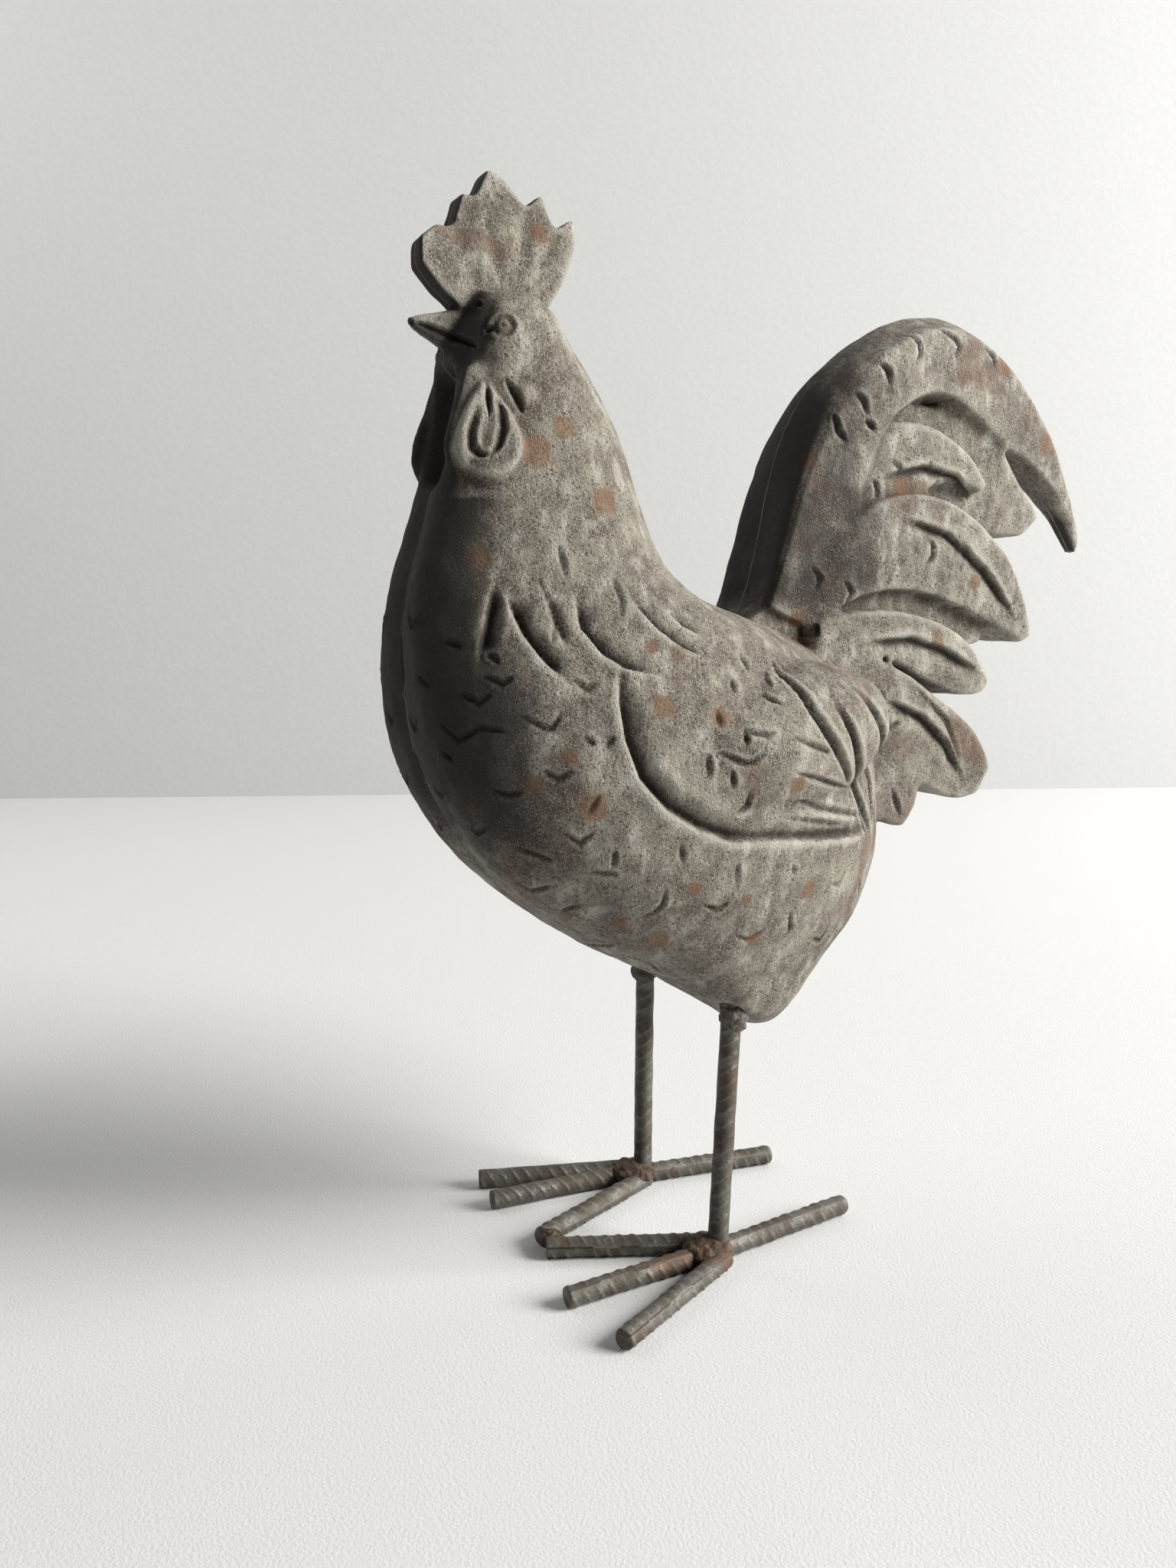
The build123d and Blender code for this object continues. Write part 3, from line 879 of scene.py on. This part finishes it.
def carveBody(mesh):
    edges = edgesOf(mesh)
    rubDown(mesh, edges)
    work = strokesOn(mesh)
    hollows = hollowDepth(work.folded, work.normals, breastHollow, 2)
    hollows += hollowDepth(work.folded, work.normals, throatHollow, 4)
    uneven = sum(height * lumps(work.points, size, seed) for height, size, seed in waves)
    move = work.height - work.depth - hollows + uneven
    low, high = (np.array(corner) / mm for corner in cadBounds)
    setPoints(mesh, np.clip(work.points + normalsOf(mesh) * move[:, None], low, high))

    shaped = pointsOf(mesh)
    standing = ((shaped - smoothed(shaped, edges, reliefLook["smoothing"])) * normalsOf(mesh)).sum(1)
    setAttribute(mesh, "relief", np.clip(smoothed(standing, edges, 1) / reliefLook["full"], -1, 1))
    # the painted shade of the cuts and steps
    setAttribute(mesh, "cut", np.clip(smoothed(work.cutShade, edges, 1), 0, 1))
    bareAndShaded = bareAndShadedMask(work.folded, work.normals)
    # worn paint and painted shade on the front
    setAttribute(mesh, "bareAndShaded", np.clip(bareAndShaded + 0.25 * uneven * (bareAndShaded > 0.05), 0, 1))
    setAttribute(mesh, "patch", patchiness(work, uneven) * (shaped[:, 0] > 0))  # on the left only
    return mesh


def onPlane(edge, place):
    return all(abs(vert.co.x - place) < 1e-6 for vert in edge.verts)


def keptBetween(mesh, low, high):
    # the part of the skin between two upright planes, closed again where it was cut
    bm = bmesh.new()
    bm.from_mesh(mesh)
    for place, keepAbove in ((low, True), (high, False)):
        if place is None:
            continue
        everything = bm.verts[:] + bm.edges[:] + bm.faces[:]
        bmesh.ops.bisect_plane(
            bm, geom=everything, dist=1e-7, plane_co=(place, 0, 0), plane_no=(1, 0, 0),
            clear_inner=keepAbove, clear_outer=not keepAbove,
        )
        rim = [edge for edge in bm.edges if edge.is_boundary and onPlane(edge, place)]
        bmesh.ops.triangle_fill(bm, edges=rim, use_beauty=False, normal=(-1 if keepAbove else 1, 0, 0))
    bmesh.ops.recalc_face_normals(bm, faces=bm.faces)
    return bm


body = modified(carveBody(solidSkin()), "DECIMATE", ratio=skinSize["kept"])
print("body carved", len(body.vertices), "points", len(body.polygons), "faces")
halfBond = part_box("seam_bond")[1].x
left = meshFrom("castLeft", keptBetween(body, halfBond, None))
makePiece("castLeft", left, castFinish, ["body_half_left"])
right = meshFrom("castRight", keptBetween(body, None, -halfBond))
makePiece("castRight", right, castFinish, ["body_half_right"])
bond = meshFrom("seamBond", keptBetween(body, -halfBond, halfBond))
makePiece("seamBond", bond, bondFinish, ["seam_bond"])
bpy.data.meshes.remove(body)
print("halves and bond made")

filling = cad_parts["belly_fill"]
filling.data.materials.clear()
filling.data.materials.append(fillFinish)


# Ribbed bars

# The bar in millimetres: radius over the ribs and between them, spacing and slant of the ribs, half the
# width of a rib and of the keel that runs along each side, and how its ends and ribs are rubbed.
bar = dict(
    radius=4.2, core=3.72, pitch=5.4, slant=0.62, ribHalf=0.71875, keelHalf=0.5357, keelHeight=0.75,
    endRound=0.35, endReach=0.6, wornSize=9, wornLeast=0.72, wornSwing=0.7,
    around=40, step=0.55, bendRadius=14.0, bendSteps=8, joined=0.01,
)
# Each toe: where it starts beside the leg in bar widths, degrees outwards, and length in millimetres.
toes = dict(
    left=dict(
        outer=(0.75, 26.0, 66.0), middle=(0.0, 3.0, 66.0), inner=(-0.75, -23.5, 64.0), hind=(0.0, -6.5, 67.0)
    ),
    right=dict(
        outer=(0.65, 18.0, 70.5), middle=(0.3, 4.0, 69.0), inner=(-0.5, -22.5, 67.5), hind=(0.0, -9.0, 61.5)
    ),
)
toeStart = dict(outer=0.0, middle=1.35, inner=0.0, hind=0.35)  # bar widths from the leg's middle
legStart = dict(left=1.3, right=3.0)  # where the first rib is
legRoll = 0.9


def ribHeight(turn, along, start):
    # crescent ribs in two rows that slant opposite ways, between two keels
    row = 1 if math.sin(turn) >= 0 else -1
    inRow = math.asin(abs(math.sin(turn))) / (math.pi / 2)
    lean = math.cos(turn) * bar["slant"] * bar["radius"] * row
    half = bar["pitch"] / 2
    place = (along + start + lean + (half if row < 0 else 0)) % bar["pitch"] - half
    rib = math.exp(-((place / bar["ribHalf"]) ** 2)) * min(1, inRow * 1.6) ** 0.7
    fromKeel = math.asin(abs(math.sin(turn))) * bar["core"]
    keel = bar["keelHeight"] * math.exp(-((fromKeel / bar["keelHalf"]) ** 2))
    return max(rib, keel)


def makeBar(name, node, path, start, roll):
    # a tube of rings along the path, its skin raised where the ribs are, with closed ends
    lengths = [0.0]
    for a, b in zip(path[:-1], path[1:]):
        lengths.append(lengths[-1] + (b - a).length)
    count = max(2, round(lengths[-1] / bar["step"]))
    bm = bmesh.new()
    bmesh.ops.create_grid(bm, x_segments=count, y_segments=bar["around"], size=1)
    bm.verts.ensure_lookup_table()
    rise = bm.verts.layers.float.new("rise")
    for vert in bm.verts:
        along = (vert.co.x + 1) / 2 * lengths[-1]
        turn = (vert.co.y + 1) * math.pi
        run = max(i for i in range(len(path) - 1) if lengths[i] <= along + 1e-9)
        share = (along - lengths[run]) / (lengths[run + 1] - lengths[run])
        centre = path[run].lerp(path[run + 1], share)
        before = (path[run + 1] - path[run]).normalized()
        after = (path[min(run + 2, len(path) - 1)] - path[min(run + 1, len(path) - 2)]).normalized()
        ahead = before.lerp(after, share).normalized()
        acrossA = ahead.cross(Vector((0, 1, 0.02))).normalized()  # no bar lies along that direction
        acrossB = ahead.cross(acrossA)
        worn = noise.noise(Vector((along / bar["wornSize"], start, turn)))
        height = ribHeight(turn + 1e-6, along, start)
        height *= min(1, bar["wornLeast"] + bar["wornSwing"] * worn)
        radius = bar["core"] + (bar["radius"] - bar["core"]) * height
        end = min(along, lengths[-1] - along)
        radius -= bar["endRound"] * max(0, 1 - end / bar["endReach"])
        angle = turn + roll
        vert[rise] = height
        vert.co = centre + (acrossA * math.cos(angle) + acrossB * math.sin(angle)) * radius
        vert.co.z = max(vert.co.z, 0)
    bmesh.ops.scale(bm, verts=bm.verts, vec=(mm, mm, mm))
    bmesh.ops.remove_doubles(bm, verts=bm.verts, dist=bar["joined"] * mm)
    bmesh.ops.holes_fill(bm, edges=[edge for edge in bm.edges if edge.is_boundary])
    bmesh.ops.recalc_face_normals(bm, faces=bm.faces)
    makePiece(name, meshFrom(name, bm), barFinish, [node])


def legEnds(side):
    # the bar's middle at the ground and at the hook, and where the hook ends, from the CAD leg's box
    low, high = (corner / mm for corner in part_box(f"{side}_leg_bar"))
    radius = bar["radius"]
    outside, hookEnd = (high.x, low.x) if side == "left" else (low.x, high.x)
    beside = outside - sides[side] * radius
    ankle = Vector((beside, low.y + radius, 0))
    top = Vector((beside, high.y - radius, high.z - radius))
    return ankle, top, hookEnd


def legPath(side):
    # up from the ground, round the bend and along the hook inside the belly
    ankle, top, hookEnd = legEnds(side)
    bend = bar["bendRadius"]
    path = [ankle, Vector((ankle.x, top.y + (ankle.y - top.y) * bend / top.z, top.z - bend))]
    for step in range(1, bar["bendSteps"] + 1):
        turn = math.pi / 2 * step / bar["bendSteps"]
        inward = sides[side] * bend * (1 - math.cos(turn))
        path.append(Vector((top.x - inward, top.y, top.z - bend + bend * math.sin(turn))))
    path.append(Vector((hookEnd, top.y, top.z)))
    return path


def toePath(side, toe):
    beside, turn, length = toes[side][toe]
    width = 2 * bar["radius"]
    angle = math.radians(turn)
    ahead = 1 if toe == "hind" else -1
    direction = Vector((sides[side] * math.sin(angle), ahead * math.cos(angle), 0))
    root = legEnds(side)[0] + Vector((sides[side] * beside * width, 0, bar["radius"]))
    return [root + direction * toeStart[toe] * width, root + direction * length]


for side in sides:
    makeBar(f"{side}LegBar", f"{side}_leg_bar", legPath(side), legStart[side], legRoll)
    for toe in toeStart:
        length = toes[side][toe][2]  # also turns the toe and shifts its ribs, so that no two look the same
        name = f"{side}{toe.capitalize()}Toe"
        makeBar(name, f"{side}_{toe}_toe", toePath(side, toe), length % 4, length * 1.7)
print("bars made")


# Welds and putty

# Height and size of the lumps and of the finer ones on them, and how far the whole skin is drawn in.
lump = dict(subdivisions=5, rough=0.9, size=2.6, fine=0.35, fineSize=1.0, sunk=0.5)


def makeLump(name, node, material, seed):
    # a lumpy blob in its node's box
    low, high = (Vector(corner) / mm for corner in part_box(node))
    centre = (low + high) / 2
    half = (high - low) / 2
    bm = bmesh.new()
    bmesh.ops.create_icosphere(bm, subdivisions=lump["subdivisions"], radius=1)
    for vert in bm.verts:
        direction = vert.co.normalized()
        place = centre + Vector([d * h for d, h in zip(direction, half)])
        bumpy = noise.noise(place / lump["size"] + Vector((seed, 0, 0))) * lump["rough"]
        bumpy += noise.noise(place / lump["fineSize"] + Vector((0, seed, 0))) * lump["fine"]
        place += direction * (bumpy - lump["sunk"])
        vert.co = Vector([min(max(p, a), b) for p, a, b in zip(place, low, high)])
    bmesh.ops.scale(bm, verts=bm.verts, vec=(mm, mm, mm))
    makePiece(name, meshFrom(name, bm), material, [node])


makeLump("leftFootWeld", "left_foot_weld", weldFinish, 2.0)
makeLump("rightFootWeld", "right_foot_weld", weldFinish, 5.0)
makeLump("toeTipWeld", "toe_tip_weld", weldFinish, 8.0)
makeLump("leftLegPutty", "left_leg_putty", puttyFinish, 11.0)
makeLump("rightLegPutty", "right_leg_putty", puttyFinish, 14.0)
print("welds and putty made")


# Studio: floor, wall, camera and lights

studio = dict(
    eye=Vector((0.4010, -0.2335, 0.2480)),
    right=Vector((0.4351, 0.9003, -0.0095)),
    up=Vector((-0.1206, 0.0687, 0.9903)),
    back=Vector((0.8923, -0.4298, 0.1385)),
    lens=27.07,
    nearest=0.01,
    wallAway=1.68,
)
sheet = dict(halfWidth=4, depth=6, height=3)
floorLook = dict(colour=(0.65, 0.65, 0.65), scale=900.0, strength=0.25)
wallLook = dict(colour=(0.55, 0.555, 0.555), scale=120.0, strength=0.3)
plainLook = dict(dim=0.97, roughness=0.9, bump=1.0 * mm)
room = dict(colour=(0.93, 0.95, 1.0, 1), strength=0.03)


def makePlainFinish(name, look):
    material, shader = newMaterial(name)
    w = Wiring(material.node_tree)
    weave = w.cloud(w.place(), look["scale"], 3.0, 0.6)
    shade = tuple(c * plainLook["dim"] for c in look["colour"])
    w.link(w.mix(w.stretch(weave, 0.3, 0.7), shade, look["colour"]), shader.inputs["Base Color"])
    shader.inputs["Roughness"].default_value = plainLook["roughness"]
    w.link(w.bump(weave, look["strength"], plainLook["bump"]), shader.inputs["Normal"])
    return material


def makeSheet(name, corners, material):
    bm = bmesh.new()
    bm.faces.new([bm.verts.new(corner) for corner in corners])
    made = bpy.data.objects.new(name, meshFrom(name, bm))
    made.data.materials.append(material)
    bpy.context.scene.collection.objects.link(made)


level = Vector((studio["back"].x, studio["back"].y, 0)).normalized()
across = Vector((-level.y, level.x, 0))
wallFoot = Vector((studio["eye"].x, studio["eye"].y, 0)) - level * studio["wallAway"]
wallLeft = wallFoot - across * sheet["halfWidth"]
wallRight = wallFoot + across * sheet["halfWidth"]
nearer = level * sheet["depth"]
upward = Vector((0, 0, sheet["height"]))
floorFinish = makePlainFinish("floorFinish", floorLook)
wallFinish = makePlainFinish("wallFinish", wallLook)
makeSheet("floor", [wallLeft, wallLeft + nearer, wallRight + nearer, wallRight], floorFinish)
makeSheet("wall", [wallLeft, wallRight, wallRight + upward, wallLeft + upward], wallFinish)

camera = bpy.data.objects.new("camera", bpy.data.cameras.new("camera"))
camera.data.lens = studio["lens"]
camera.data.clip_start = studio["nearest"]
facing = Matrix((studio["right"], studio["up"], studio["back"])).transposed()
camera.matrix_world = Matrix.Translation(studio["eye"]) @ facing.to_4x4()
bpy.context.scene.collection.objects.link(camera)
bpy.context.scene.camera = camera


def makeLight(name, place, target, size, power, colour):
    light = bpy.data.objects.new(name, bpy.data.lights.new(name, "AREA"))
    light.data.shape = "RECTANGLE"
    light.data.size, light.data.size_y = size
    light.data.energy = power
    light.data.color = colour
    light.rotation_euler = (target - place).to_track_quat("-Z", "Y").to_euler()
    light.location = place
    bpy.context.scene.collection.objects.link(light)


middle = Vector((0, 0.03, 0.2))
lights = dict(
    window=dict(
        place=middle + Vector((2.34, 2.99, 1.89)), target=middle,
        size=(2.2, 2.4), power=415, colour=(1.0, 0.985, 0.95),
    ),
    wallWash=dict(
        place=wallFoot + level * 0.55 - across * 1.1 + Vector((0, 0, 1.3)),
        target=wallFoot + level * 0.3 - across * 0.5,
        size=(1.6, 0.5), power=6, colour=(1, 1, 1),
    ),
)
for name, light in lights.items():
    makeLight(name, **light)
world = bpy.data.worlds.new("room")
bpy.context.scene.world = world
world.use_nodes = True
background = world.node_tree.nodes["Background"]
background.inputs["Color"].default_value = room["colour"]
background.inputs["Strength"].default_value = room["strength"]
bpy.context.scene.view_settings.view_transform = "Standard"
print("studio made")
